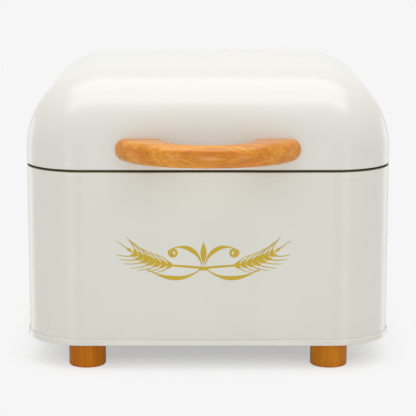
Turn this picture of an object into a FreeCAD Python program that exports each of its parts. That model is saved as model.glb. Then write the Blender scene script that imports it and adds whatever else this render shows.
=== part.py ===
import FreeCAD, Part
import math
import os

# A bread box of coated sheet steel: a straight body seamed to its base, a deep-drawn lid on two
# hinges at the back, a bow handle of beech on the lid's front and four round beech feet.
# Millimetres. +Z is up and the front, with the handle, faces -Y. The origin lies on the surface
# that the feet stand on, midway between the two sides, and midway between the handle's front and
# the hinges' back. The body is drawn about its own middle and then moved there.

# Body: the outer face of its wall, seen from above, and the steel it is made of
body_width = 330.0
body_depth = 290.0
corner_radius = 54.0
sheet = 0.6

# Heights of the body
rim_underside = 22.4
rim_height = 5.8
wall_height = 158.5
neck_height = 7.0
neck_hem_height = 3.0

# Base: the seam that its edge makes round the wall, and the panel set up inside the seam
seam_clearance = 0.05
rim_proud = 1.4
rim_edge_bevel = 0.9
panel_recess = 4.0

# Upright lock seam inside the back of the wall
lock_seam_width = 7.0
lock_seam_layers = 2

# Lid: flush with the wall, with a straight skirt and a drawn crown
lid_gap = 1.6
lid_neck_clearance = 3.0
skirt_height = 14.3
hem_height = 6.0
crown_radius = 72.0
crown_corner_radius = 10.0
crown_facets = 9
corner_facets = 10

# Handle, measured from the flat of the lid's front
handle_above_lid_edge = 17.95
handle_thickness = 19.9
grip_depth = 20.3
finger_depth = 30.0
finger_width = 75.0
pad_width = 44.5
outer_bow_setback = 20.0
inner_bow_setback = 4.0
handle_edge_radius = 9.3
handle_edge_facets = 3
outer_bow_facets = 48
inner_bow_facets = 32
pad_clearance = 0.05

# Screws that hold the handle and the feet
screw_spacing = 128.0
screw_diameter = 4.0
screw_head_diameter = 8.0
screw_head_height = 2.6
screw_hole_clearance = 0.2
thread_clearance = 0.03
head_clearance = 0.02
handle_screw_grip = 20.0
foot_screw_grip = 16.0

# Feet
foot_diameter = 33.5
foot_from_side = 55.0
foot_from_front = 22.5

# Hinges
hinge_spacing = 176.0
hinge_width = 38.0
leaf_sheet = 1.2
leaf_corner_radius = 3.0
body_leaf_height = 20.0
lid_leaf_height = 15.5
middle_knuckle_width = 13.0
knuckle_side_gap = 0.2
knuckle_wall_gap = 0.3
pin_diameter = 3.5
pin_running_clearance = 0.05
pin_standing_out = 0.6
open_angle = 100.0
stop_reach = 4.5
stop_gap = 0.1

# Places that follow from those sizes
half_width = body_width / 2
half_depth = body_depth / 2
wall_top = rim_underside + wall_height
lid_edge = wall_top + lid_gap
neck_top = lid_edge + neck_height
skirt_top = lid_edge + skirt_height
panel_underside = rim_underside + panel_recess
panel_top = panel_underside + sheet
lid_front = -half_depth
lid_back = half_depth
hem_inner = -2 * sheet
crown_facet_angle = math.radians(90.0 / crown_facets)
handle_height = lid_edge + handle_above_lid_edge
knuckle_bore = pin_diameter / 2 + pin_running_clearance
knuckle_radius = knuckle_bore + leaf_sheet
pin_y = lid_back + knuckle_wall_gap + knuckle_radius
pin_z = wall_top
sides = {"left": -1, "right": 1}
ends = {"front": -1, "rear": 1}

ORIGIN = FreeCAD.Vector(0, 0, 0)
RIGHT = FreeCAD.Vector(1, 0, 0)
BACK = FreeCAD.Vector(0, 1, 0)
UP = FreeCAD.Vector(0, 0, 1)


def section_of(corners):
    """A flat section in the XZ plane, from its corners across and up."""
    points = [FreeCAD.Vector(across, 0, up) for across, up in corners]
    return Part.Face(Part.makePolygon(points + points[:1]))


def round_plan(section):
    """Carry a section, drawn outward from the wall's outer face, once round the body's plan."""
    straight_x = half_width - corner_radius
    straight_y = half_depth - corner_radius
    section = section.translated(RIGHT * corner_radius)
    stretches = [
        (0, straight_x, -straight_y, straight_x, straight_y, 2 * straight_y),
        (90, straight_x, straight_y, -straight_x, straight_y, 2 * straight_x),
        (180, -straight_x, straight_y, -straight_x, -straight_y, 2 * straight_y),
        (270, -straight_x, -straight_y, straight_x, -straight_y, 2 * straight_x),
    ]
    pieces = []
    for turn, from_x, from_y, to_x, to_y, length in stretches:
        side = section.extrude(BACK * length)
        side.rotate(ORIGIN, UP, turn)
        side.translate(FreeCAD.Vector(from_x, from_y, 0))
        corner = section.revolve(ORIGIN, UP, 90)
        corner.rotate(ORIGIN, UP, turn)
        corner.translate(FreeCAD.Vector(to_x, to_y, 0))
        pieces += [side, corner]
    return pieces[0].fuse(pieces[1:]).removeSplitter()


def plan_face(offset, height):
    """The body's plan as a level face, moved outward by an offset."""
    block = Part.makeBox(body_width + 2 * offset, body_depth + 2 * offset, 1)
    block.translate(FreeCAD.Vector(-half_width - offset, -half_depth - offset, height))
    upright = [edge for edge in block.Edges if edge.BoundBox.ZLength > 0.5]
    rounded = block.makeFillet(corner_radius + offset, upright)
    return min(rounded.Faces, key=lambda face: face.CenterOfMass.z)


def plan_ring(half_x, half_y, radius, height):
    """The corners of a rounded rectangle at a height, with each round corner in flat facets."""
    ring = []
    for turn in range(4):
        across, along = (half_x, half_y) if turn % 2 == 0 else (half_y, half_x)
        middle = FreeCAD.Vector(across - radius, along - radius, height)
        for step in range(corner_facets + 1):
            angle = math.radians(90.0 * step / corner_facets)
            point = middle + FreeCAD.Vector(math.cos(angle), math.sin(angle), 0) * radius
            ring.append(FreeCAD.Rotation(UP, 90 * turn).multVec(point))
    return ring


def stacked(rings):
    """A solid with flat faces, through rings of points that lie one above the other."""
    faces = [Part.Face(Part.makePolygon(ring + ring[:1])) for ring in (rings[0], rings[-1])]
    for low, high in zip(rings, rings[1:]):
        for index in range(len(low)):
            corners = [low[index - 1], low[index], high[index], high[index - 1], low[index - 1]]
            faces.append(Part.Face(Part.makePolygon(corners)))
    shell = Part.Shell(faces)
    shell.sewShape()
    return Part.Solid(shell)


def rod(radius, length, start, along):
    """A round bar, or the tool for a round hole."""
    return Part.makeCylinder(radius, length, start, along)


def make_body_wall():
    """The wrapped wall: it stands in the base's seam, and its top is drawn in to a hemmed neck."""
    neck = hem_inner - lid_neck_clearance
    foot_of_wall = rim_underside + sheet + seam_clearance
    section = section_of(
        [
            (0, foot_of_wall),
            (0, wall_top),
            (neck, wall_top),
            (neck, neck_top),
            (neck - 2 * sheet, neck_top),
            (neck - 2 * sheet, neck_top - neck_hem_height),
            (neck - sheet, neck_top - neck_hem_height),
            (neck - sheet, wall_top - sheet),
            (-sheet, wall_top - sheet),
            (-sheet, foot_of_wall),
        ]
    )
    wall = round_plan(section)
    seam_depth = lock_seam_layers * sheet
    lock_seam_bottom = panel_top + sheet
    lock_seam = Part.makeBox(lock_seam_width, seam_depth + sheet / 2, wall_top - sheet - lock_seam_bottom)
    lock_seam.translate(FreeCAD.Vector(-lock_seam_width / 2, half_depth - sheet - seam_depth, lock_seam_bottom))
    return wall.fuse(lock_seam).removeSplitter()


def make_base_pan():
    """The base: a panel set up inside its rim, and the rim turned out and up round the wall's foot."""
    outer_side = -sheet - seam_clearance
    inner_side = outer_side - sheet
    panel_edge = inner_side - 3 * sheet
    rim_top = rim_underside + rim_height
    section = section_of(
        [
            (panel_edge, panel_underside),
            (inner_side, panel_underside),
            (inner_side, rim_underside),
            (rim_proud - rim_edge_bevel, rim_underside),
            (rim_proud, rim_underside + rim_edge_bevel),
            (rim_proud, rim_top - rim_edge_bevel),
            (rim_proud - rim_edge_bevel, rim_top),
            (seam_clearance, rim_top),
            (seam_clearance, rim_underside + sheet),
            (outer_side, rim_underside + sheet),
            (outer_side, panel_top),
            (panel_edge, panel_top),
        ]
    )
    panel = plan_face(panel_edge, panel_underside).extrude(UP * sheet)
    pan = round_plan(section).fuse(panel).removeSplitter()
    radius = screw_diameter / 2 + screw_hole_clearance
    lift = UP * (panel_underside - sheet)
    return pan.cut([rod(radius, 3 * sheet, place + lift, UP) for place in foot_places()])


def lid_form(inset, mouth):
    """The solid form inside one face of the lid, from rings at its mouth to the top of its crown."""
    rings = []
    for offset, height in mouth:
        rings.append(plan_ring(half_width + offset, half_depth + offset, corner_radius + offset, height))
    radius = crown_radius - inset
    low_corner = corner_radius - inset
    high_corner = crown_corner_radius - inset
    for step in range(crown_facets + 1):
        drawn = 1 - math.cos(step * crown_facet_angle)
        height = skirt_top + radius * math.sin(step * crown_facet_angle)
        half_x = half_width - inset - radius * drawn
        half_y = half_depth - inset - radius * drawn
        rings.append(plan_ring(half_x, half_y, low_corner + (high_corner - low_corner) * drawn, height))
    return stacked(rings)


def make_lid_shell():
    """The drawn lid: a straight skirt with a closed hem, and a crown rounded alike on all sides."""
    hem_top = lid_edge + hem_height
    outer = lid_form(0, [(0, lid_edge)])
    space = lid_form(sheet, [(hem_inner, lid_edge), (hem_inner, hem_top - sheet), (-sheet, hem_top)])
    holes = []
    for side in sides.values():
        place = FreeCAD.Vector(side * screw_spacing / 2, lid_front - sheet, handle_height)
        holes.append(rod(screw_diameter / 2 + screw_hole_clearance, 5 * sheet, place, BACK))
    return outer.cut(space).cut(holes)


def bow_ring(half_length, setback, front, facets):
    """An ellipse in facets, with a given half length at the lid's face and a given furthest point."""
    depth = front + setback
    half_axis = half_length / math.sqrt(1 - (setback / depth) ** 2)
    ring = []
    for step in range(facets):
        angle = 2 * math.pi * step / facets
        ring.append(FreeCAD.Vector(half_axis * math.cos(angle), lid_front + setback + depth * math.sin(angle), 0))
    return ring


def moved_out(ring, distance):
    """A ring with every one of its sides moved outward by the same distance."""
    outward = [(point - ring[index - 1]).cross(UP).normalize() for index, point in enumerate(ring)]
    moved = []
    for index, point in enumerate(ring):
        before = outward[index]
        after = outward[(index + 1) % len(ring)]
        moved.append(point + (before + after) * (distance / (1 + before.dot(after))))
    return moved


def rounded_bow(ring, radius, way):
    """A bow as thick as the handle, its edges rounded off (way -1) or, for a hole, flared out (way 1)."""
    lower = []
    for step in range(handle_edge_facets + 1):
        angle = math.radians(90.0 * step / handle_edge_facets)
        lower.append((way * radius * (1 - math.sin(angle)), radius * (1 - math.cos(angle))))
    upper = [(shift, handle_thickness - rise) for shift, rise in reversed(lower)]
    bottom = handle_height - handle_thickness / 2
    rings = []
    for shift, rise in lower + upper:
        rings.append([point + UP * (bottom + rise) for point in moved_out(ring, shift)])
    return stacked(rings)


def make_handle():
    """The bow handle: wide pads on the lid, a round grip in front, and a finger space between."""
    radius = min(handle_edge_radius, 0.47 * handle_thickness, 0.47 * grip_depth)
    outer_ring = bow_ring(
        finger_width / 2 + pad_width, outer_bow_setback, finger_depth + grip_depth, outer_bow_facets
    )
    inner_ring = bow_ring(finger_width / 2, inner_bow_setback, finger_depth, inner_bow_facets)
    handle = rounded_bow(outer_ring, radius, -1).cut(rounded_bow(inner_ring, radius, 1))
    handle = handle.cut(lid_form(-pad_clearance, [(pad_clearance, lid_edge - handle_thickness)]))
    depth = handle_screw_grip + sheet + thread_clearance
    holes = []
    for side in sides.values():
        start = FreeCAD.Vector(side * screw_spacing / 2, lid_front + sheet, handle_height)
        holes.append(rod(screw_diameter / 2 + thread_clearance, depth, start, -BACK))
    return handle.cut(holes)


def screw(grip):
    """A screw on the Z axis: its shank runs down, and its round head rests at z = 0."""
    shank = rod(screw_diameter / 2, grip, ORIGIN, -UP)
    return shank.fuse(rod(screw_head_diameter / 2, screw_head_height, ORIGIN, UP))


def make_handle_screws():
    """Two screws from inside the lid, each head square to its screw and resting by its upper edge."""
    rise = max(handle_height + screw_head_diameter / 2 - skirt_top, 0)
    head_face = lid_front + sheet + rise * math.tan(crown_facet_angle / 2) + head_clearance
    piece = screw(head_face - lid_front + handle_screw_grip).rotated(ORIGIN, RIGHT, -90)
    copies = []
    for side in sides.values():
        copies.append(piece.translated(FreeCAD.Vector(side * screw_spacing / 2, head_face, handle_height)))
    return Part.makeCompound(copies)


def foot_places():
    """The middles of the four feet on the floor."""
    return [
        FreeCAD.Vector(side * (half_width - foot_from_side), end * (half_depth - foot_from_front), 0)
        for end in ends.values()
        for side in sides.values()
    ]


def make_foot(place):
    """A round foot, from the floor to the base panel, with the screw's hole down its middle."""
    hole_depth = foot_screw_grip + thread_clearance
    start = place + UP * (panel_underside - hole_depth)
    hole = rod(screw_diameter / 2 + thread_clearance, hole_depth, start, UP)
    return rod(foot_diameter / 2, panel_underside, place, UP).cut(hole)


def make_foot_screws():
    """One screw down into each foot, through the base panel."""
    head_face = panel_top + head_clearance
    piece = screw(head_face - panel_underside + foot_screw_grip)
    return Part.makeCompound([piece.translated(place + UP * head_face) for place in foot_places()])


def leaf_plate(middle, face, free_edge, near_edge):
    """The flat of a leaf, from its free edge with rounded corners to its edge beside the knuckles."""
    low = min(free_edge, near_edge)
    plate = Part.makeBox(hinge_width, leaf_sheet, abs(free_edge - near_edge))
    plate.translate(FreeCAD.Vector(middle - hinge_width / 2, face, low))
    corners = []
    for edge in plate.Edges:
        box = edge.BoundBox
        if abs(box.Center.z - free_edge) < 1e-6 and box.YLength > leaf_sheet / 2:
            corners.append(edge)
    return plate.makeFillet(leaf_corner_radius, corners)


def knuckle(middle, width, face, near_edge):
    """A knuckle round the pin, with the tongue that joins it to its leaf."""
    start = FreeCAD.Vector(middle - width / 2, pin_y, pin_z)
    tongue = Part.makeBox(width, leaf_sheet, abs(pin_z - near_edge))
    tongue.translate(FreeCAD.Vector(start.x, face, min(pin_z, near_edge)))
    return rod(knuckle_radius, width, start, RIGHT).fuse(tongue)


def pin_bore(middle):
    """The tool that bores a hinge's knuckles for its pin."""
    return rod(knuckle_bore, hinge_width, FreeCAD.Vector(middle - hinge_width / 2, pin_y, pin_z), RIGHT)


def make_body_leaf(middle):
    """The leaf on the body's back, with the middle knuckle."""
    near_edge = pin_z - knuckle_radius - knuckle_side_gap
    plate = leaf_plate(middle, half_depth, pin_z - body_leaf_height, near_edge)
    leaf = plate.fuse(knuckle(middle, middle_knuckle_width, half_depth, near_edge))
    return leaf.cut(pin_bore(middle)).removeSplitter()


def stop_lug(middle, width):
    """A lug on the barrel that meets the body's leaf when the lid is open."""
    face = half_depth + leaf_sheet + stop_gap - pin_y
    lug = Part.makeBox(width, leaf_sheet, knuckle_radius + stop_reach - knuckle_bore)
    lug.translate(FreeCAD.Vector(middle - width / 2, face, -knuckle_radius - stop_reach))
    lug.rotate(ORIGIN, RIGHT, open_angle)
    return lug.translated(FreeCAD.Vector(0, pin_y, pin_z))


def make_lid_leaf(middle):
    """The leaf on the lid's back, with two outer knuckles and their stop lugs."""
    near_edge = pin_z + knuckle_radius + knuckle_side_gap
    leaf = leaf_plate(middle, lid_back, pin_z + lid_leaf_height, near_edge)
    outer_width = (hinge_width - middle_knuckle_width) / 2 - knuckle_side_gap
    for side in sides.values():
        place = middle + side * (hinge_width - outer_width) / 2
        leaf = leaf.fuse([knuckle(place, outer_width, lid_back, near_edge), stop_lug(place, outer_width)])
    return leaf.cut(pin_bore(middle)).removeSplitter()


def make_hinge_pin(middle):
    """The pin, which stands a little out of the knuckles at both ends."""
    length = hinge_width + 2 * pin_standing_out
    return rod(pin_diameter / 2, length, FreeCAD.Vector(middle - length / 2, pin_y, pin_z), RIGHT)


def make_parts():
    """Every sub-part under its node's name."""
    parts = {
        "body_wall": make_body_wall(),
        "base_pan": make_base_pan(),
        "lid_shell": make_lid_shell(),
        "handle": make_handle(),
        "handle_screws": make_handle_screws(),
        "foot_screws": make_foot_screws(),
    }
    foot_names = ["foot_%s_%s" % (end, side) for end in ends for side in sides]
    for name, place in zip(foot_names, foot_places()):
        parts[name] = make_foot(place)
    for name, side in sides.items():
        middle = side * hinge_spacing / 2
        parts["hinge_body_leaf_" + name] = make_body_leaf(middle)
        parts["hinge_lid_leaf_" + name] = make_lid_leaf(middle)
        parts["hinge_pin_" + name] = make_hinge_pin(middle)
    return parts


os.makedirs("parts", exist_ok=True)
all_parts = make_parts()
middle_y = round(Part.makeCompound(list(all_parts.values())).BoundBox.Center.y, 1)
for node, shape in all_parts.items():
    shape.translated(BACK * -middle_y).exportStep("parts/%s.step" % node)
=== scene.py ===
import logging
import math
from collections.abc import Callable, Sequence
from dataclasses import dataclass, field
from enum import Enum
from typing import Any

import bmesh
import bpy
from bpy.types import ID, Material, Mesh, Node, NodeSocket, NodeTree, Object
from mathutils import Matrix, Vector
from mathutils.geometry import interpolate_bezier


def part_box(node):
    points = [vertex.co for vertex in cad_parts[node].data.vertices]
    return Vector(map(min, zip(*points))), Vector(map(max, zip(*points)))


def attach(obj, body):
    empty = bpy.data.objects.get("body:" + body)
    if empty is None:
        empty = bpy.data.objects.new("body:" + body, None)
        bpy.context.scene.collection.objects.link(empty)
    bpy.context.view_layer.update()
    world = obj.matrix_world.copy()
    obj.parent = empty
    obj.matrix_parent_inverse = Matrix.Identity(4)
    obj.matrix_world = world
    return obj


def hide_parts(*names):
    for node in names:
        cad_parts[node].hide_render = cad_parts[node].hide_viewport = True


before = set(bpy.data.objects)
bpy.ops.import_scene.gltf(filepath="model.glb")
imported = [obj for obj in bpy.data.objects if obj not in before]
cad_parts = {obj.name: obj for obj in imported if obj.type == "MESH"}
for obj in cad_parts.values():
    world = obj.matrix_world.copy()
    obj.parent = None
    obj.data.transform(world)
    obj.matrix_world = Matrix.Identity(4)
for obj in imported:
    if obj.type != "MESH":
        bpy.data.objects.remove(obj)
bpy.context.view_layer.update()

# The looks of a bread box: coated sheet steel, a drawn lid, a beech bow handle and turned beech feet.
# Sizes are in millimetres and are turned to metres where a mesh is made.

LOG = logging.getLogger("bread_box")
METRES = 0.001
SHARP_DEGREES = 35.0
UP = Vector((0.0, 0.0, 1.0))
CORNERS = ((1, 1), (-1, 1), (-1, -1), (1, -1))


def linear(code: str) -> tuple[float, float, float, float]:
    """Turn an sRGB hex value into a linear colour.

    Args:
        code: The colour, such as "#E6E5DA".

    Returns:
        Red, green, blue and a full alpha.
    """
    shares = [int(code[at : at + 2], 16) / 255 for at in (1, 3, 5)]
    # The curve's numbers are the sRGB standard's own
    red, green, blue = (s / 12.92 if s <= 0.04045 else ((s + 0.055) / 1.055) ** 2.4 for s in shares)
    return red, green, blue, 1.0


def add_node(
    tree: NodeTree,
    kind: str,
    settings: dict[str, Any] | None = None,
    inputs: dict[str | int, Any] | None = None,
) -> Node:
    """Add one node with its settings, its values and its links.

    Args:
        tree: The tree that the node goes into.
        kind: The node's type, without the ShaderNode that starts it.
        settings: The node's own settings by name.
        inputs: A value, or the socket that feeds it, for each input by name or number.

    Returns:
        The new node.
    """
    node = tree.nodes.new("ShaderNode" + kind)
    for name, value in (settings or {}).items():
        setattr(node, name, value)
    for name, value in (inputs or {}).items():
        if isinstance(value, NodeSocket):
            tree.links.new(value, node.inputs[name])
        else:
            node.inputs[name].default_value = value
    return node


def empty_material(name: str) -> tuple[Material, NodeTree]:
    """Make a material with no nodes in it yet.

    Args:
        name: The material's name.

    Returns:
        The material and its tree.
    """
    material = bpy.data.materials.new(name)
    material.use_nodes = True
    material.node_tree.nodes.clear()
    return material, material.node_tree


def finish_surface(tree: NodeTree, inputs: dict[str | int, Any]) -> None:
    """Put the shader and the output at the end of a tree.

    Args:
        tree: The material's tree.
        inputs: The shader's values and links.
    """
    shader = add_node(tree, "BsdfPrincipled", inputs=inputs)
    add_node(tree, "OutputMaterial", inputs={"Surface": shader.outputs[0]})


def clouded(
    tree: NodeTree,
    size_mm: float,
    detail: float,
    colours: tuple[str, str],
    roughness: tuple[float, float],
    span: tuple[float, float] = (0.0, 1.0),
) -> dict[str | int, Any]:
    """Drift a surface softly between two colours and between two roughnesses.

    Args:
        tree: The material's tree.
        size_mm: The clouds' size.
        detail: How finely they break up.
        colours: The two colours, as sRGB hex values.
        roughness: The two roughnesses.
        span: The part of the clouds' range from 0 to 1 that the roughness changes over.

    Returns:
        The shader's inputs for its colour and its roughness.
    """
    place = add_node(tree, "TexCoord").outputs["Object"]
    inputs = {"Vector": place, "Scale": 1 / (size_mm * METRES), "Detail": detail}
    clouds = add_node(tree, "TexNoise", inputs=inputs).outputs[0]
    first, second = (linear(code) for code in colours)
    colour = add_node(tree, "Mix", {"data_type": "RGBA"}, {0: clouds, 6: first, 7: second})
    ends = dict(zip(("From Min", "From Max", "To Min", "To Max"), (*span, *roughness)))
    rough = add_node(tree, "MapRange", inputs={"Value": clouds, **ends})
    return {"Base Color": colour.outputs[2], "Roughness": rough.outputs[0]}


class Grain(Enum):
    """Which way the wood's grain runs, as the turn that brings it onto the X axis."""

    ALONG = (0.0, 0.0, 0.0)
    UPRIGHT = (0.0, math.pi / 2, 0.0)


@dataclass(frozen=True)
class PowderCoat:
    """Polyester powder coat, sprayed on steel and baked: an even satin skin.

    The eye sees one flat colour, soft wide highlights and, close by, a faint orange peel where the
    powder flowed. The drawn corners and hems carry the same skin with no bare edge.
    """

    name: str
    colour: str = "#D8D8CE"
    thin_colour: str = "#D5D5CB"
    roughness: tuple[float, float] = (0.22, 0.25)
    peel_size_mm: float = 1.8
    peel_depth_mm: float = 0.006
    patch_size_mm: float = 45.0
    refraction: float = 1.55

    def make(self) -> Material:
        """Make the coat.

        Returns:
            The coat as a material.
        """
        material, tree = empty_material(self.name)
        colours = (self.colour, self.thin_colour)
        inputs = clouded(tree, self.patch_size_mm, 2.0, colours, self.roughness, (0.3, 0.7))
        # Real orange peel is 1 to 2 mm across and some thousandths deep, and is drawn at that size
        place = add_node(tree, "TexCoord").outputs["Object"]
        scale = 1 / (self.peel_size_mm * METRES)
        peel = add_node(tree, "TexNoise", inputs={"Vector": place, "Scale": scale, "Detail": 1.0})
        depth = self.peel_depth_mm * METRES
        bump = add_node(tree, "Bump", inputs={"Height": peel.outputs[0], "Distance": depth})
        finish_surface(tree, {**inputs, "Normal": bump.outputs[0], "IOR": self.refraction})
        return material


@dataclass(frozen=True)
class StainedBeech:
    """Steamed beech, sanded, stained honey brown and lacquered satin.

    The eye sees close growth rings, short darker ray flecks along the grain and a clear skin that
    gives broad soft highlights.
    """

    name: str
    grain: Grain
    pith_mm: tuple[float, float, float]
    pale: str = "#E2961F"
    deep: str = "#CF7C08"
    dark: str = "#A65602"
    ring_spacing_mm: float = 2.4
    ring_share: float = 0.2
    streak_size_mm: tuple[float, float] = (30.0, 2.0)
    streak_share: float = 0.35
    fleck_size_mm: tuple[float, float] = (9.0, 0.8)
    fleck_share: float = 0.3
    board_size_mm: tuple[float, float] = (70.0, 9.0)
    pore_depth_mm: float = 0.03
    roughness: tuple[float, float] = (0.36, 0.52)
    refraction: float = 1.5
    shine: float = 0.0
    lacquer: float = 1.0
    lacquer_roughness: float = 0.17

    def make(self) -> Material:
        """Make the wood.

        Returns:
            The wood as a material.
        """
        material, tree = empty_material(self.name)
        place = add_node(tree, "TexCoord").outputs["Object"]
        inputs = {"Vector": place, "Rotation": self.grain.value}
        turned = add_node(tree, "Mapping", inputs=inputs).outputs[0]
        pith = tuple(value * METRES for value in self.pith_mm)
        from_pith = add_node(tree, "VectorMath", {"operation": "SUBTRACT"}, {0: turned, 1: pith})
        settings = {"wave_type": "RINGS", "rings_direction": "X"}
        inputs = {
            "Vector": from_pith.outputs[0],
            "Scale": math.pi / (10 * self.ring_spacing_mm * METRES),
            "Distortion": 3.4,
            "Detail": 2.0,
            "Detail Scale": 0.3,
        }
        rings = add_node(tree, "TexWave", settings, inputs).outputs[1]
        boards, streaks, flecks = (
            self.stretched_noise(tree, turned, *size_mm)
            for size_mm in (self.board_size_mm, self.streak_size_mm, self.fleck_size_mm)
        )
        colour = linear(self.pale)
        # Each pattern starts to show at one value and shows in full, with its share, at another
        for pattern, start, full, share, darker in (
            (boards, 0.35, 0.65, 1.0, self.deep),
            (rings, 0.55, 1.0, self.ring_share, self.dark),
            (streaks, 0.5, 0.62, self.streak_share, self.dark),
            (flecks, 0.54, 0.66, self.fleck_share, self.dark),
        ):
            inputs = {"Value": pattern, "From Min": start, "From Max": full, "To Max": share}
            shown = add_node(tree, "MapRange", {"interpolation_type": "SMOOTHSTEP"}, inputs).outputs[0]
            inputs = {0: shown, 6: colour, 7: linear(darker)}
            colour = add_node(tree, "Mix", {"data_type": "RGBA"}, inputs).outputs[2]
        # The flecks, which come last, are shallow pores as well
        inputs = {"Height": shown, "Distance": self.pore_depth_mm * METRES, "Strength": 0.6}
        bump = add_node(tree, "Bump", {"invert": True}, inputs)
        low, high = self.roughness
        rough = add_node(tree, "MapRange", inputs={"Value": boards, "To Min": low, "To Max": high})
        finish_surface(
            tree,
            {
                "Base Color": colour,
                "Roughness": rough.outputs[0],
                "IOR": self.refraction,
                "Specular IOR Level": self.shine,
                "Coat Weight": self.lacquer,
                "Coat Roughness": self.lacquer_roughness,
                "Normal": bump.outputs[0],
            },
        )
        return material

    @staticmethod
    def stretched_noise(
        tree: NodeTree, place: NodeSocket, length_mm: float, width_mm: float
    ) -> NodeSocket:
        """Add noise drawn out along the grain.

        Args:
            tree: The material's tree.
            place: The coordinates, with the grain on X.
            length_mm: The marks' length along the grain.
            width_mm: Their width across it.

        Returns:
            The noise's value.
        """
        across = 1 / (width_mm * METRES)
        inputs = {0: place, 1: (1 / (length_mm * METRES), across, across)}
        scaled = add_node(tree, "VectorMath", {"operation": "MULTIPLY"}, inputs).outputs[0]
        inputs = {"Vector": scaled, "Scale": 1.0, "Detail": 2.0}
        return add_node(tree, "TexNoise", inputs=inputs).outputs[0]


@dataclass(frozen=True)
class GoldInk:
    """Screen-printed metallic ink, bronze flakes in a clear binder, dried matt.

    The eye sees a mustard gold with a dull shine and the faint grain of its flakes.
    """

    name: str = "gold_screen_ink"
    colour: str = "#C8AC26"
    flake_colour: str = "#B69821"
    flake_size_mm: float = 0.8
    roughness: tuple[float, float] = (0.4, 0.56)
    metallic: float = 0.35

    def make(self) -> Material:
        """Make the ink.

        Returns:
            The ink as a material.
        """
        material, tree = empty_material(self.name)
        # Real flakes are under 0.1 mm, drawn coarser here so that their grain shows
        colours = (self.colour, self.flake_colour)
        inputs = clouded(tree, self.flake_size_mm, 3.0, colours, self.roughness)
        finish_surface(tree, {**inputs, "Metallic": self.metallic})
        return material


@dataclass(frozen=True)
class ZincPlate:
    """Bright zinc on turned and headed steel.

    The eye sees a bluish grey metal with a slightly cloudy passivated skin.
    """

    name: str = "zinc_plated_steel"
    colour: str = "#C3C5C4"
    cloud_colour: str = "#AEB0AC"
    cloud_size_mm: float = 2.5
    roughness: tuple[float, float] = (0.24, 0.44)

    def make(self) -> Material:
        """Make the plating.

        Returns:
            The plating as a material.
        """
        material, tree = empty_material(self.name)
        colours = (self.colour, self.cloud_colour)
        inputs = clouded(tree, self.cloud_size_mm, 4.0, colours, self.roughness)
        finish_surface(tree, {**inputs, "Metallic": 1.0})
        return material


@dataclass
class Form:
    """Faces gathered for one closed mesh, in millimetres."""

    points: list[Vector] = field(default_factory=list)
    faces: list[list[int]] = field(default_factory=list)

    def skin(self, rings: Sequence[Sequence[Vector]], closed: bool = False) -> None:
        """Lay faces from ring to ring.

        Args:
            rings: Rings of points, all with the same count.
            closed: Whether the last ring joins the first. Otherwise both ends get a cap.
        """
        count = len(rings[0])
        start = len(self.points)
        for ring in rings:
            self.points += ring
        spans = len(rings) if closed else len(rings) - 1
        for span in range(spans):
            near = start + span * count
            far = start + (span + 1) % len(rings) * count
            for at in range(count):
                after = (at + 1) % count
                self.faces.append([near + at, near + after, far + after, far + at])
        if not closed:
            self.faces.append(list(range(start, start + count)))
            self.faces.append(list(range(start + (len(rings) - 1) * count, start + len(rings) * count)))

    def mesh(self, name: str, sharp_degrees: float = SHARP_DEGREES) -> Mesh:
        """Make the mesh, in metres.

        Args:
            name: The mesh's name.
            sharp_degrees: Edges that turn more than this stay sharp.

        Returns:
            The mesh, its faces turned outward.
        """
        mesh = bpy.data.meshes.new(name)
        mesh.from_pydata([point * METRES for point in self.points], [], self.faces)
        gathered = bmesh.new()
        gathered.from_mesh(mesh)
        bmesh.ops.recalc_face_normals(gathered, faces=gathered.faces)
        gathered.to_mesh(mesh)
        gathered.free()
        mesh.shade_smooth()
        mesh.set_sharp_from_angle(angle=math.radians(sharp_degrees))
        return mesh


def rounded_path(
    corners: Sequence[tuple[float, float, float]], closed: bool = False, steps: int = 6
) -> list[Vector]:
    """Round the corners of a section.

    Args:
        corners: For each corner its place across and up and its radius.
        closed: Whether the section joins up.
        steps: Flat steps in each round.

    Returns:
        Points across and up along the rounded section.
    """
    path = []
    for index, (across, up, radius) in enumerate(corners):
        here = Vector((across, up))
        if radius == 0 or (not closed and index in (0, len(corners) - 1)):
            path.append(here)
            continue
        before = (Vector(corners[index - 1][:2]) - here).normalized()
        after = (Vector(corners[(index + 1) % len(corners)][:2]) - here).normalized()
        half = before.angle(after) / 2
        middle = here + (before + after).normalized() * (radius / math.sin(half))
        start = here + before * (radius / math.tan(half)) - middle
        end = here + after * (radius / math.tan(half)) - middle
        for step in range(steps + 1):
            path.append(middle + start.lerp(end, step / steps).normalized() * radius)
    return path


@dataclass(frozen=True)
class Plan:
    """The rounded rectangle that the whole box is drawn on, seen from above."""

    half_x: float = 165.0
    half_y: float = 145.0
    corner: float = 54.0
    middle_y: float = 19.6
    corner_steps: int = 24

    def ring(self, offset: float, height: float, corner: float | None = None) -> list[Vector]:
        """Draw the plan at a height.

        Args:
            offset: How far outside the wall's outer face, negative for inside.
            height: The ring's height.
            corner: The corners' radius, where it isn't the wall's own plus the offset.

        Returns:
            The ring's points.
        """
        radius = self.corner + offset if corner is None else corner
        reach_x = self.half_x + offset - radius
        reach_y = self.half_y + offset - radius
        points = []
        for turn, (side_x, side_y) in enumerate(CORNERS):
            middle = Vector((side_x * reach_x, self.middle_y + side_y * reach_y, height))
            for step in range(self.corner_steps + 1):
                angle = math.radians(90 * turn + 90 * step / self.corner_steps)
                points.append(middle + Vector((math.cos(angle), math.sin(angle), 0.0)) * radius)
        return points


def add_object(name: str, data: ID) -> Object:
    """Make an object and link it into the scene.

    Args:
        name: The object's name.
        data: Its mesh, lamp or lens.

    Returns:
        The object.
    """
    added = bpy.data.objects.new(name, data)
    bpy.context.scene.collection.objects.link(added)
    return added


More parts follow.
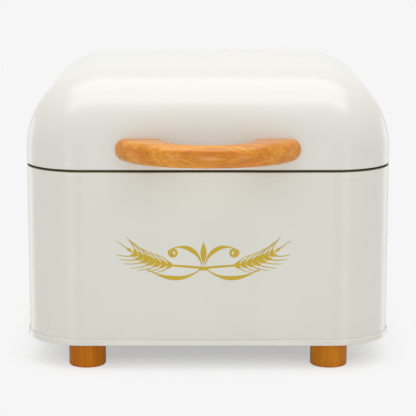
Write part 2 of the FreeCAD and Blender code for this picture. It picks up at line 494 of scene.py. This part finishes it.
def add_piece(
    mesh: Mesh, material: Material, body: str, nodes: Sequence[str] = ()
) -> None:
    """Put a piece into the scene.

    Args:
        mesh: Its mesh, in place, which gives the piece its name.
        material: Its finish.
        body: The body that it rides on.
        nodes: The solids that it stands for.
    """
    piece = add_object(mesh.name, mesh)
    mesh.materials.append(material)
    even = piece.modifiers.new("even_faces", "WEIGHTED_NORMAL")
    even.keep_sharp = True
    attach(piece, body)
    if nodes:
        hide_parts(*nodes)
    LOG.info("%s: %d faces on %s", piece.name, len(mesh.polygons), body)


def carve(mesh: Mesh, cutter: Mesh) -> Mesh:
    """Cut one closed mesh out of another.

    Args:
        mesh: The mesh that is cut.
        cutter: The mesh that cuts it.

    Returns:
        What is left.
    """
    helpers = [add_object("carve", data) for data in (mesh, cutter)]
    cut = helpers[0].modifiers.new("cut", "BOOLEAN")
    cut.operation = "DIFFERENCE"
    cut.solver = "EXACT"
    cut.object = helpers[1]
    graph = bpy.context.evaluated_depsgraph_get()
    left = bpy.data.meshes.new_from_object(helpers[0].evaluated_get(graph))
    for helper in helpers:
        bpy.data.objects.remove(helper)
    return left


@dataclass
class Body:
    """The wall with its neck, and the base with its rim."""

    plan: Plan
    sheet: float = 0.6
    wall_foot: float = 23.05
    wall_top: float = 180.9
    wall_top_round: float = 1.5
    neck_offset: float = -4.2
    neck_top: float = 189.5
    neck_hem: float = 3.0
    # How far the painted seam shade reaches: below the neck's top, down over the wall's rounded top
    # edge, and not past the neck's outer face
    shade_paint_below_top: float = 0.4
    shade_paint_over_wall: float = 1.15
    shade_paint_slack: float = 0.05
    rim_underside: float = 22.4
    rim_top: float = 28.2
    rim_proud: float = 1.4
    rim_low_round: float = 1.1
    rim_top_round: float = 1.28
    panel_underside: float = 26.4
    panel_edge: float = -3.05
    seam_clearance: float = 0.05
    lock_seam_width: float = 7.0
    lock_seam_depth: float = 1.2
    lock_seam_sunk: float = 0.3

    def build(self, coat: Material, seam_shade_paint: Material, base_coat: Material) -> None:
        """Build the wall and the base.

        Args:
            coat: The wall's finish.
            seam_shade_paint: The dark painted shade on the wall's rounded top edge, the ledge and the
                neck's outer face, standing in for the shade in the seam under the lid.
            base_coat: The base's finish.
        """
        wall = Form()
        wall.skin([self.plan.ring(point.x, point.y) for point in self.wall_section()], closed=True)
        wall.skin(self.lock_seam_rings())
        mesh = wall.mesh("wrapped_wall")
        add_piece(mesh, coat, "body", ["body_wall"])
        self.paint_seam_shade(mesh, seam_shade_paint)
        base = Form()
        base.skin([self.plan.ring(point.x, point.y) for point in self.base_section()])
        add_piece(base.mesh("seamed_base"), base_coat, "body", ["base_pan"])

    def wall_section(self) -> list[Vector]:
        """Draw the wall's section.

        Returns:
            Points from its foot up outside, round the hemmed neck and down inside.
        """
        neck = self.neck_offset
        thick = self.sheet
        hem_end = self.neck_top - self.neck_hem
        return rounded_path(
            [
                (0.0, self.wall_foot, 0.0),
                (0.0, self.wall_top, self.wall_top_round),
                (neck, self.wall_top, 0.04),
                (neck, self.neck_top, 0.5),
                (neck - 2 * thick, self.neck_top, 0.5),
                (neck - 2 * thick, hem_end, 0.2),
                (neck - thick, hem_end, 0.1),
                (neck - thick, self.wall_top - thick, 0.3),
                (-thick, self.wall_top - thick, 0.5),
                (-thick, self.wall_foot, 0.0),
            ]
        )

    def paint_seam_shade(self, mesh: Mesh, seam_shade_paint: Material) -> None:
        """Paint shade on the wall's rounded top edge, the ledge and the neck's outer face, so that the
        seam under the lid looks dark.

        Args:
            mesh: The wall's mesh, whose faces run along the section, span by span.
            seam_shade_paint: The dark colour that paints the shade.
        """
        mesh.materials.append(seam_shade_paint)
        section = self.wall_section()
        per_span = len(self.plan.ring(0.0, 0.0))
        inmost = self.neck_offset - self.shade_paint_slack
        lowest = self.wall_top - self.shade_paint_over_wall
        highest = self.neck_top - self.shade_paint_below_top
        # The small round inside, which the ledge overhangs, lies between these limits too
        for span, ends in enumerate(zip(section, section[1:])):
            if all(end.x > inmost and lowest < end.y < highest for end in ends):
                for face in mesh.polygons[span * per_span : (span + 1) * per_span]:
                    face.material_index = 1

    def lock_seam_rings(self) -> list[list[Vector]]:
        """Draw the folded seam inside the back of the wall.

        Returns:
            Its rings at its foot and at its top.
        """
        back = self.plan.middle_y + self.plan.half_y - self.sheet + self.lock_seam_sunk
        front = back - self.lock_seam_depth - self.lock_seam_sunk
        half = self.lock_seam_width / 2
        section = rounded_path(
            [(-half, back, 0.0), (half, back, 0.0), (half, front, 0.5), (-half, front, 0.5)], closed=True
        )
        low = self.panel_underside + 2 * self.sheet
        high = self.wall_top - self.sheet
        return [[Vector((point.x, point.y, height)) for point in section] for height in (low, high)]

    def base_section(self) -> list[Vector]:
        """Draw the base's section.

        Returns:
            Points under the panel, out round the rim and back over the panel.
        """
        outer_side = -self.sheet - self.seam_clearance
        inner_side = outer_side - self.sheet
        panel_top = self.panel_underside + self.sheet
        return rounded_path(
            [
                (self.panel_edge, self.panel_underside, 0.0),
                (inner_side, self.panel_underside, 0.6),
                (inner_side, self.rim_underside, 0.5),
                (self.rim_proud, self.rim_underside, self.rim_low_round),
                (self.rim_proud, self.rim_top, self.rim_top_round),
                (self.seam_clearance, self.rim_top, 0.05),
                (self.seam_clearance, self.rim_underside + self.sheet, 0.1),
                (outer_side, self.rim_underside + self.sheet, 0.1),
                (outer_side, panel_top, 0.3),
                (self.panel_edge, panel_top, 0.0),
            ]
        )


Curve = tuple[tuple[float, float], ...]


@dataclass
class Ornament:
    """Two ears of wheat, tied between scrolls, printed flat on the front of the wall.

    Each curve of the right half is a start, its handle, the end's handle and the end.
    """

    face_y: float
    middle_x: float = -4.0
    middle_z: float = 103.0
    ink_height: float = 0.06
    layer_step: float = 0.004
    scroll_layer: int = 36
    sunk: float = 0.01
    least_width: float = 0.12
    stem: Curve = ((2.0, -9.0), (22.0, -6.0), (44.0, -9.0), (64.0, 6.0))
    under_scroll: Curve = ((4.0, -11.0), (20.0, -24.0), (40.0, -17.0), (50.0, -10.0))
    over_scroll: Curve = ((1.5, -6.5), (4.0, 8.0), (20.0, 15.0), (31.0, 6.5))
    spiral_middle: tuple[float, float] = (27.0, 5.0)
    spiral_reach: float = 4.2
    spiral_turns: float = 1.35
    spiral_narrowing: float = 0.72
    tie_length: float = 8.4
    tie_up: float = -9.4
    bud_foot: float = -6.0
    bud_length: float = 21.0
    grain_pairs: int = 7
    grain_length: float = 8.5
    grain_width: float = 3.5
    grain_lean_degrees: float = 31.0
    first_grain_at: float = 0.42
    full_grain_at: float = 0.7
    small_grain_loss: float = 0.28
    beard_length: float = 11.0
    beard_bend: float = 0.35

    def build(self, ink: Material) -> None:
        """Build the ornament.

        Args:
            ink: Its finish.
        """
        form = Form()
        for side in (-1, 1):
            self.add_ear(form, side)
            self.add_scrolls(form, side)
        self.add_tie(form)
        add_piece(form.mesh("wheat_ornament"), ink, "body")

    def add_stroke(
        self, form: Form, line: Sequence[Vector], width: Callable[[float], float], layer: int = 0
    ) -> None:
        """Add a flat stroke of changing width.

        Args:
            form: The form that the stroke joins.
            line: Points across and up along its middle.
            width: The stroke's width at a share of its length.
            layer: Strokes that cross lie on different layers, a hair apart.
        """
        rings = []
        last = len(line) - 1
        back = self.face_y + self.sunk
        front = self.face_y - self.ink_height - self.layer_step * layer
        for index, point in enumerate(line):
            ahead = line[min(index + 1, last)] - line[max(index - 1, 0)]
            aside = Vector((-ahead.y, ahead.x)).normalized()
            aside *= max(width(index / last), self.least_width) / 2
            edges = [Vector((self.middle_x, self.middle_z)) + point + way * aside for way in (-1, 1)]
            ring = [Vector((edge.x, back, edge.y)) for edge in edges]
            rings.append(ring + [Vector((edge.x, front, edge.y)) for edge in reversed(edges)])
        form.skin(rings)

    def draw(self, side: int, curve: Curve) -> list[Vector]:
        """Draw one of the curves.

        Args:
            side: 1 for the right, -1 to mirror it for the left.
            curve: The curve.

        Returns:
            Points across and up along it.
        """
        flat = interpolate_bezier(*[Vector((side * across, up, 0.0)) for across, up in curve], 29)
        return [point.to_2d() for point in flat]

    def add_ear(self, form: Form, side: int) -> None:
        """Add one ear: a stem, grains in pairs along it and their beards.

        Args:
            form: The form that the ear joins.
            side: 1 for the right, -1 for the left.
        """
        stem = self.draw(side, self.stem)
        self.add_stroke(form, stem, lambda share: 2.2 - 1.0 * share)
        for pair in range(self.grain_pairs + 1):
            share = self.first_grain_at + (1.0 - self.first_grain_at) * pair / self.grain_pairs
            at = share * (len(stem) - 1)
            low = min(int(at), len(stem) - 2)
            seat = stem[low].lerp(stem[low + 1], at - low)
            along = (stem[low + 1] - stem[low]).normalized()
            from_full = abs(share - self.full_grain_at) / (1.0 - self.full_grain_at)
            size = 1.0 - self.small_grain_loss * from_full
            for way in (-1, 1) if pair < self.grain_pairs else (0,):
                self.add_grain(form, seat, along, way, size, 1 + 4 * pair + 2 * max(way, 0))

    def add_grain(
        self, form: Form, seat: Vector, along: Vector, way: int, size: float, layer: int
    ) -> None:
        """Add a grain with its beard.

        Args:
            form: The form that the grain joins.
            seat: Where the grain meets the stem.
            along: The stem's direction there.
            way: 1 for a grain above the stem, -1 below, 0 for the last grain at the tip.
            size: The grain's share of full size.
            layer: The grain's layer. The beard takes the next one.
        """
        across = Vector((-along.y, along.x))
        lean = math.radians(self.grain_lean_degrees * way)
        heading = along * math.cos(lean) + across * math.sin(lean)
        bow = Vector((-heading.y, heading.x)) * (-0.9 * way)
        start = seat + across * (1.15 * way)
        grain = []
        for step in range(13):
            share = step / 12
            reach = self.grain_length * size * share
            grain.append(start + heading * reach + bow * (4 * share * (1 - share)))
        full = self.grain_width * size
        self.add_stroke(form, grain, lambda share: full * math.sin(math.pi * share**0.8) ** 0.85, layer)
        beard = []
        for step in range(7):
            share = step / 6
            reach = self.beard_length * size * share
            beard.append(grain[-1] + (heading + along * (self.beard_bend * share)) * reach)
        self.add_stroke(form, beard, lambda share: 1.0 - 0.6 * share, layer + 1)

    def add_scrolls(self, form: Form, side: int) -> None:
        """Add the scrolls above and below the stems.

        Args:
            form: The form that the scrolls join.
            side: 1 for the right, -1 for the left.
        """

        def swell(share: float) -> float:
            """Return the stroke's width, thin at its ends and full past its middle."""
            return 0.9 + 2.9 * math.sin(math.pi * min(share * 1.15, 1.0)) ** 2

        for curve in (self.under_scroll, self.over_scroll):
            self.add_stroke(form, self.draw(side, curve), swell, self.scroll_layer)
        spiral = []
        middle_across, middle_up = self.spiral_middle
        for step in range(40):
            share = step / 39
            angle = 0.35 - 2 * math.pi * self.spiral_turns * share
            reach = self.spiral_reach * (1 - self.spiral_narrowing * share)
            across = middle_across + reach * math.cos(angle)
            spiral.append(Vector((side * across, middle_up + reach * math.sin(angle))))
        self.add_stroke(form, spiral, lambda share: 1.6 + 1.0 * share, self.scroll_layer + 1)

    def add_tie(self, form: Form) -> None:
        """Add the band that ties the stems, and a bud above it.

        Args:
            form: The form that they join.
        """
        band = [Vector((self.tie_length * (step / 8 - 0.5), self.tie_up)) for step in range(9)]
        self.add_stroke(form, band, lambda share: 3.4, self.scroll_layer + 2)
        bud = [Vector((0.0, self.bud_foot + self.bud_length * step / 16)) for step in range(17)]
        layer = self.scroll_layer + 3
        self.add_stroke(form, bud, lambda share: 5.4 * math.sin(math.pi * share) ** 1.3, layer)


@dataclass
class Lid:
    """The drawn lid with its hemmed edge."""

    plan: Plan
    sheet: float = 0.6
    edge: float = 182.5
    skirt_top: float = 196.8
    skirt_lap: float = 4.0
    hem_height: float = 6.0
    hem_round: float = 0.35
    crown_radius: float = 72.0
    crown_corner: float = 10.0
    crown_steps: int = 28

    def build(self, coat: Material) -> None:
        """Build the lid.

        Args:
            coat: Its finish.
        """
        rings = self.crown_rings(0.0)[::-1]
        rings += [self.plan.ring(point.x, point.y) for point in self.skirt_section()]
        rings += self.crown_rings(self.sheet)
        form = Form()
        form.skin(rings)
        add_piece(form.mesh("drawn_lid"), coat, "lid", ["lid_shell"])

    def crown_rings(self, inset: float) -> list[list[Vector]]:
        """Draw one face of the crown, from the skirt up to the flat top.

        Args:
            inset: How far inside the lid's outer face.

        Returns:
            The rings of that face.
        """
        rings = []
        radius = self.crown_radius - inset
        low_corner = self.plan.corner - inset
        high_corner = self.crown_corner - inset
        for step in range(self.crown_steps + 1):
            angle = math.radians(90 * step / self.crown_steps)
            drawn = 1 - math.cos(angle)
            corner = low_corner + (high_corner - low_corner) * drawn
            height = self.skirt_top + radius * math.sin(angle)
            rings.append(self.plan.ring(-inset - radius * drawn, height, corner))
        return rings

    def skirt_section(self) -> list[Vector]:
        """Draw the skirt's section.

        Returns:
            Points down outside, round the hem and up inside.
        """
        inner = -self.sheet
        hem = inner - self.sheet
        start = self.skirt_top - self.skirt_lap
        return rounded_path(
            [
                (0.0, start, 0.0),
                (0.0, self.edge, self.hem_round),
                (hem, self.edge, 0.5),
                (hem, self.edge + self.hem_height - self.sheet, 0.3),
                (inner, self.edge + self.hem_height, 0.2),
                (inner, start, 0.0),
            ]
        )

    def face_y(self, height: float) -> float:
        """Find the lid's front face.

        Args:
            height: A height on it.

        Returns:
            How far back the face lies there.
        """
        rise = max(height - self.skirt_top, 0.0)
        drawn = self.crown_radius - math.sqrt(self.crown_radius**2 - rise**2)
        return self.plan.middle_y - self.plan.half_y + drawn


@dataclass(frozen=True)
class Bow:
    """One curve of the handle, an ellipse whose middle lies behind the lid's face."""

    half_axis: float
    depth: float
    setback: float

    def point(self, share: float, face_y: float) -> Vector:
        """Find a point of the curve.

        Args:
            share: 0 at the left end on the lid's face, 1 at the right end.
            face_y: Where the lid's face lies.

        Returns:
            The point, at height 0.
        """
        dip = math.asin(self.setback / self.depth)
        angle = math.pi + dip + (math.pi - 2 * dip) * share
        back = face_y + self.setback + self.depth * math.sin(angle)
        return Vector((self.half_axis * math.cos(angle), back, 0.0))


@dataclass
class Handle:
    """The bow handle: two wide pads on the lid and a round grip in front, out of one piece of beech."""

    lid: Lid
    height: float = 200.45
    thickness: float = 19.9
    edge_radius: float = 9.3
    outer: Bow = Bow(85.53, 70.3, 20.0)
    inner: Bow = Bow(37.76, 34.0, 4.0)
    pad_clearance: float = 0.05
    stations: int = 96
    edge_steps: int = 10

    def build(self, wood: Material) -> None:
        """Build the handle.

        Args:
            wood: Its finish.
        """
        flat_y = self.lid.face_y(0.0)
        rings = []
        for station in range(self.stations + 1):
            share = station / self.stations
            outside = self.outer.point(share, flat_y)
            inside = self.inner.point(share, flat_y)
            ring = self.section(inside, outside)
            if station in (0, self.stations):
                for point in ring:
                    point.y = self.lid.face_y(point.z) - self.pad_clearance
            rings.append(ring)
        form = Form()
        form.skin(rings)
        add_piece(form.mesh("bow_handle", 60.0), wood, "lid", ["handle"])

    def section(self, inside: Vector, outside: Vector) -> list[Vector]:
        """Draw the section between the two curves.

        Args:
            inside: The point on the inner curve.
            outside: The point on the outer curve.

        Returns:
            The section's points.
        """
        width = (outside - inside).length
        heading = (outside - inside) / width
        half = self.thickness / 2
        radius = min(self.edge_radius, 0.495 * width)
        flat = rounded_path(
            [(0.0, -half, radius), (width, -half, radius), (width, half, radius), (0.0, half, radius)],
            closed=True,
            steps=self.edge_steps,
        )
        return [inside + heading * point.x + UP * (self.height + point.y) for point in flat]


@dataclass
class Screws:
    """Pan-head screws with a cross recess, drawn on their own axis and set in their solids' places."""

    shank_radius: float = 2.0
    handle_shank_length: float = 20.0
    foot_shank_length: float = 16.0
    head_radius: float = 4.0
    head_height: float = 2.6
    recess_width: float = 0.9
    recess_length: float = 4.6
    recess_depth: float = 1.5
    foot_screw_turns: tuple[float, ...] = (0.3, 0.9, 0.1, 1.2)

    def build(self, steel: Material) -> None:
        """Build the handle's two screws and the feet's four.

        Args:
            steel: Their finish.
        """
        for node, shank_length, places, body in (
            ("handle_screws", self.handle_shank_length, self.handle_places(), "lid"),
            ("foot_screws", self.foot_shank_length, self.foot_places(), "body"),
        ):
            screw = self.screw(shank_length)
            gathered = bmesh.new()
            for place in places:
                copy = screw.copy()
                copy.transform(place)
                gathered.from_mesh(copy)
            mesh = bpy.data.meshes.new(node + "_cross")
            gathered.to_mesh(mesh)
            gathered.free()
            mesh.shade_smooth()
            mesh.set_sharp_from_angle(angle=math.radians(SHARP_DEGREES))
            add_piece(mesh, steel, body, [node])

    def screw(self, shank_length: float) -> Mesh:
        """Build one screw.

        Args:
            shank_length: The shank's length under the head.

        Returns:
            The screw along Z, its head resting at zero, in metres.
        """
        profile = rounded_path(
            [
                (0.0, self.head_height, 0.0),
                (self.head_radius * 0.72, self.head_height - 0.25, 2.2),
                (self.head_radius, 0.7, 0.8),
                (self.head_radius, 0.0, 0.15),
                (self.shank_radius, 0.0, 0.1),
                (self.shank_radius, -shank_length, 0.0),
            ]
        )
        form = Form()
        form.skin([turned_ring(max(point.x, 0.02), point.y, 32) for point in profile])
        screw = form.mesh("screw")
        # The recess narrows downward, and its cutter stands out over the head
        levels = ((self.head_height - self.recess_depth, 0.55), (self.head_height + 1.0, 1.25))
        for along, across in (
            (self.recess_length / 2, self.recess_width / 2),
            (self.recess_width / 2, self.recess_length / 2),
        ):
            cutter = Form()
            cutter.skin(
                [
                    [Vector((x * along * share, y * across * share, height)) for x, y in CORNERS]
                    for height, share in levels
                ]
            )
            screw = carve(screw, cutter.mesh("recess"))
        return screw

    def handle_places(self) -> list[Matrix]:
        """Place the two screws that go through the lid into the handle.

        Returns:
            Their places, in metres.
        """
        low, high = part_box("handle_screws")
        head_face = high.y - self.head_height * METRES
        height = (low.z + high.z) / 2
        turn = Matrix.Rotation(-math.pi / 2, 4, "X")
        reach = high.x - self.head_radius * METRES
        return [Matrix.Translation((side * reach, head_face, height)) @ turn for side in (-1, 1)]

    def foot_places(self) -> list[Matrix]:
        """Place the four screws that go through the base into the feet.

        Returns:
            Their places, in metres.
        """
        low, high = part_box("foot_screws")
        head_face = high.z - self.head_height * METRES
        inset = self.head_radius * METRES
        spots = [
            (across, along, head_face)
            for along in (low.y + inset, high.y - inset)
            for across in (low.x + inset, high.x - inset)
        ]
        return [
            Matrix.Translation(spot) @ Matrix.Rotation(turn, 4, "Z")
            for spot, turn in zip(spots, self.foot_screw_turns)
        ]


def turned_ring(radius: float, height: float, count: int = 64) -> list[Vector]:
    """Draw a level circle round the Z axis.

    Args:
        radius: The circle's radius.
        height: Its height.
        count: How many points it has.

    Returns:
        The circle's points.
    """
    turn = 2 * math.pi / count
    return [
        Vector((radius * math.cos(turn * step), radius * math.sin(turn * step), height))
        for step in range(count)
    ]


@dataclass
class Feet:
    """Four round feet, turned from beech."""

    radius: float = 16.75
    height: float = 26.4
    edge_radius: float = 1.5
    top_edge_radius: float = 0.5
    centre_share: float = 0.2

    def build(self, woods: Sequence[Material]) -> None:
        """Build the feet in their solids' places.

        Args:
            woods: A finish for each foot.
        """
        nodes = [f"foot_{end}_{side}" for end in ("front", "rear") for side in ("left", "right")]
        centre = self.radius * self.centre_share
        profile = rounded_path(
            [
                (centre, 0.0, 0.0),
                (self.radius, 0.0, self.edge_radius),
                (self.radius, self.height, self.top_edge_radius),
                (centre, self.height, 0.0),
            ]
        )
        for node, wood in zip(nodes, woods):
            low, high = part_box(node)
            middle = (low + high) / (2 * METRES)
            spot = Vector((middle.x, middle.y, 0.0))
            form = Form()
            form.skin([[spot + at for at in turned_ring(point.x, point.y)] for point in profile])
            add_piece(form.mesh("turned_" + node), wood, "body", [node])


@dataclass
class Hinges:
    """The two hinges at the back, whose solids keep their shape and get eased edges and a finish."""

    edge_radius: float = 0.15
    weld_distance_mm: float = 0.005
    sharp_degrees: float = 40.0

    def dress(self, coat: Material, steel: Material) -> None:
        """Finish the leaves and the pins.

        Args:
            coat: The leaves' finish.
            steel: The pins' finish.
        """
        for side in ("left", "right"):
            for part, material in (("body_leaf", coat), ("lid_leaf", coat), ("pin", steel)):
                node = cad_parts[f"hinge_{part}_{side}"]
                self.ease_edges(node)
                for slot in node.material_slots:
                    slot.material = material
                LOG.info("%s: eased and finished", node.name)

    def ease_edges(self, node: Object) -> None:
        """Round a solid's edges with modifiers, and leave its mesh alone.

        Args:
            node: The solid's object.
        """
        weld = node.modifiers.new("weld", "WELD")
        weld.merge_threshold = self.weld_distance_mm * METRES
        ease = node.modifiers.new("ease", "BEVEL")
        ease.width = self.edge_radius * METRES
        ease.segments = 2
        ease.limit_method = "ANGLE"
        ease.angle_limit = math.radians(self.sharp_degrees)
        node.modifiers.new("even_faces", "WEIGHTED_NORMAL")


@dataclass(frozen=True)
class Softbox:
    """A rectangular lamp that faces a point, in metres and watts."""

    name: str
    place: tuple[float, float, float]
    aim: tuple[float, float, float]
    size: tuple[float, float]
    power: float

    def hang(self) -> None:
        """Put the lamp into the scene, out of the camera's sight."""
        lamp = bpy.data.lights.new(self.name, "AREA")
        lamp.shape = "RECTANGLE"
        lamp.size, lamp.size_y = self.size
        lamp.energy = self.power
        holder = add_object(self.name, lamp)
        holder.location = self.place
        heading = Vector(self.aim) - Vector(self.place)
        holder.rotation_euler = heading.to_track_quat("-Z", "Y").to_euler()
        holder.visible_camera = False


@dataclass
class Studio:
    """A pale floor, soft lamps, a white surround and the camera."""

    plan: Plan
    background: str = "#F6F6F6"
    floor_colour: str = "#F6F6F6"
    floor_radius_m: float = 2.5
    shadow_inset_mm: float = 56.0
    shadow_fade_mm: float = 100.0
    shadow_share: float = 0.56
    ambient: float = 0.665
    lens_mm: float = 146.93
    camera_place: tuple[float, float, float] = (0.0, -1.60418, 0.423995)
    camera_pitch: float = 0.18422

    def build(self) -> None:
        """Build the surround, the floor, the lamps and the camera."""
        bpy.context.scene.view_settings.view_transform = "Standard"
        self.add_surround()
        self.add_floor()
        for softbox in self.softboxes():
            softbox.hang()
        self.add_camera()

    @staticmethod
    def softboxes() -> list[Softbox]:
        """Set out the lamps.

        Returns:
            Three above, one in front and two at each side, beside the corners.
        """
        lamps = [
            Softbox("overhead", (0.0, 0.1, 1.5), (0.0, 0.0, 0.1), (1.7, 0.8), 7.6),
            Softbox("overhead_front", (0.0, -0.45, 1.4), (0.0, -0.1, 0.2), (1.9, 0.3), 5.0),
            Softbox("crown_strip", (0.0, -0.7, 1.3), (0.0, -0.1, 0.2), (1.9, 0.25), 1.0),
            Softbox("front_panel", (0.0, -1.5, -0.1), (0.0, 0.0, -0.1), (0.35, 0.75), 1.5),
        ]
        for name, side in (("left", -1), ("right", 1)):
            corner = (side * 0.111, -0.07, 0.0)
            lamps += [
                Softbox(name + "_strip", (side * 0.733, -1.211, 0.0), corner, (0.26, 0.9), 0.83),
                Softbox(name + "_edge", (side * 1.06, 0.817, 0.0), corner, (0.5, 0.8), 1.07),
            ]
        return lamps

    @staticmethod
    def seen_share(tree: NodeTree) -> NodeSocket:
        """Tell what the camera sees from what only lights the scene.

        Args:
            tree: The tree that the value goes into.

        Returns:
            A value that is 1 for what is seen straight, mirrored or through glass.
        """
        path = add_node(tree, "LightPath")
        seen = path.outputs["Is Camera Ray"]
        for ray in ("Is Glossy Ray", "Is Transmission Ray"):
            inputs = {0: seen, 1: path.outputs[ray]}
            seen = add_node(tree, "Math", {"operation": "MAXIMUM"}, inputs).outputs[0]
        return seen

    def add_surround(self) -> None:
        """Light the scene softly from all round, and show the background's white."""
        world = bpy.data.worlds.new("surround")
        world.use_nodes = True
        tree = world.node_tree
        tree.nodes.clear()
        soft, white = (
            add_node(tree, "Background", inputs={"Color": linear(code), "Strength": strength})
            for code, strength in (("#FFFFFF", self.ambient), (self.background, 1.0))
        )
        inputs = {0: self.seen_share(tree), 1: soft.outputs[0], 2: white.outputs[0]}
        mixed = add_node(tree, "MixShader", inputs=inputs)
        add_node(tree, "OutputWorld", inputs={"Surface": mixed.outputs[0]})
        bpy.context.scene.world = world

    def add_floor(self) -> None:
        """Lay the floor, which keeps the shadow under the box and fades into the background round it."""
        material, tree = empty_material("studio_floor")
        place = add_node(tree, "TexCoord").outputs["Object"]
        # How far a point lies outside the box's plan, drawn in by the inset
        middle = (0.0, self.plan.middle_y * METRES, 0.0)
        halves = (self.plan.half_x, self.plan.half_y)
        core = tuple((half - self.shadow_inset_mm) * METRES for half in halves)
        outside = place
        for operation, value in (
            ("SUBTRACT", middle),
            ("ABSOLUTE", middle),
            ("SUBTRACT", (*core, 0.0)),
            ("MAXIMUM", (0.0, 0.0, 0.0)),
        ):
            inputs = {0: outside, 1: value}
            outside = add_node(tree, "VectorMath", {"operation": operation}, inputs).outputs[0]
        far = add_node(tree, "VectorMath", {"operation": "LENGTH"}, {0: outside})
        inputs = {"Value": far.outputs["Value"], "From Max": self.shadow_fade_mm * METRES}
        fade = add_node(tree, "MapRange", {"interpolation_type": "SMOOTHSTEP"}, inputs)
        # The share of white that lifts the shadow, and the share of floor that is gone
        seen = self.seen_share(tree)
        lift, gone = (
            add_node(tree, "Math", {"operation": "MULTIPLY"}, {0: seen, 1: share}).outputs[0]
            for share in (1 - self.shadow_share, fade.outputs[0])
        )
        surface = add_node(tree, "BsdfDiffuse", inputs={"Color": linear(self.floor_colour)})
        white = add_node(tree, "Emission", inputs={"Color": linear(self.background)})
        clear = add_node(tree, "BsdfTransparent")
        for share, over in ((lift, white), (gone, clear)):
            inputs = {0: share, 1: surface.outputs[0], 2: over.outputs[0]}
            surface = add_node(tree, "MixShader", inputs=inputs)
        add_node(tree, "OutputMaterial", inputs={"Surface": surface.outputs[0]})
        mesh = bpy.data.meshes.new("studio_floor")
        ring = turned_ring(self.floor_radius_m, 0.0, 96)
        mesh.from_pydata(ring, [], [list(range(len(ring)))])
        mesh.materials.append(material)
        floor = add_object("studio_floor", mesh)

    def add_camera(self) -> None:
        """Set the camera at the viewing angle."""
        lens = bpy.data.cameras.new("camera")
        lens.lens = self.lens_mm
        lens.sensor_width = 36.0
        camera = add_object("camera", lens)
        camera.location = self.camera_place
        camera.rotation_euler = (math.pi / 2 - self.camera_pitch, 0.0, 0.0)
        bpy.context.scene.camera = camera


def main() -> None:
    """Build and dress the bread box and its studio."""
    logging.basicConfig(level=logging.INFO, format="%(name)s %(message)s")
    plan = Plan()
    coat = PowderCoat("satin_coat_body")
    # The neck's dark colour is painted shade: it darkens the seam under the lid and the wall's rounded
    # top edge below it
    seam_shade_paint = PowderCoat("painted_seam_shade", "#736845", "#635838", (0.4, 0.5))
    base_coat = PowderCoat("satin_coat_base", roughness=(0.1, 0.13))
    Body(plan).build(coat.make(), seam_shade_paint.make(), base_coat.make())
    Ornament(plan.middle_y - plan.half_y).build(GoldInk().make())
    lid = Lid(plan)
    lid.build(PowderCoat("satin_coat_lid", "#D9D8D0", "#D6D5CD").make())
    Handle(lid).build(StainedBeech("stained_beech_handle", Grain.ALONG, (0.0, 260.0, 90.0)).make())
    steel = ZincPlate().make()
    Screws().build(steel)
    # The left feet's pale, deep and dark wood, then the right ones', which are paler
    stains = (("#CE7910", "#BE6D0C", "#954F06"), ("#D6841C", "#C67818", "#9D5910"))
    foot_woods = [
        StainedBeech(
            f"stained_beech_foot_{index + 1}",
            Grain.UPRIGHT,
            (0.0, pith_y, 60.0),
            *stains[index % 2],
            ring_share=0.22,
            streak_share=0.15,
            fleck_share=0.2,
            shine=0.12,
            lacquer=0.0,
        )
        for index, pith_y in enumerate((-90.0, -130.0, 120.0, 150.0))
    ]
    Feet().build([wood.make() for wood in foot_woods])
    Hinges().dress(PowderCoat("satin_coat_hinge").make(), steel)
    Studio(plan).build()


if __name__ == "__main__":
    main()
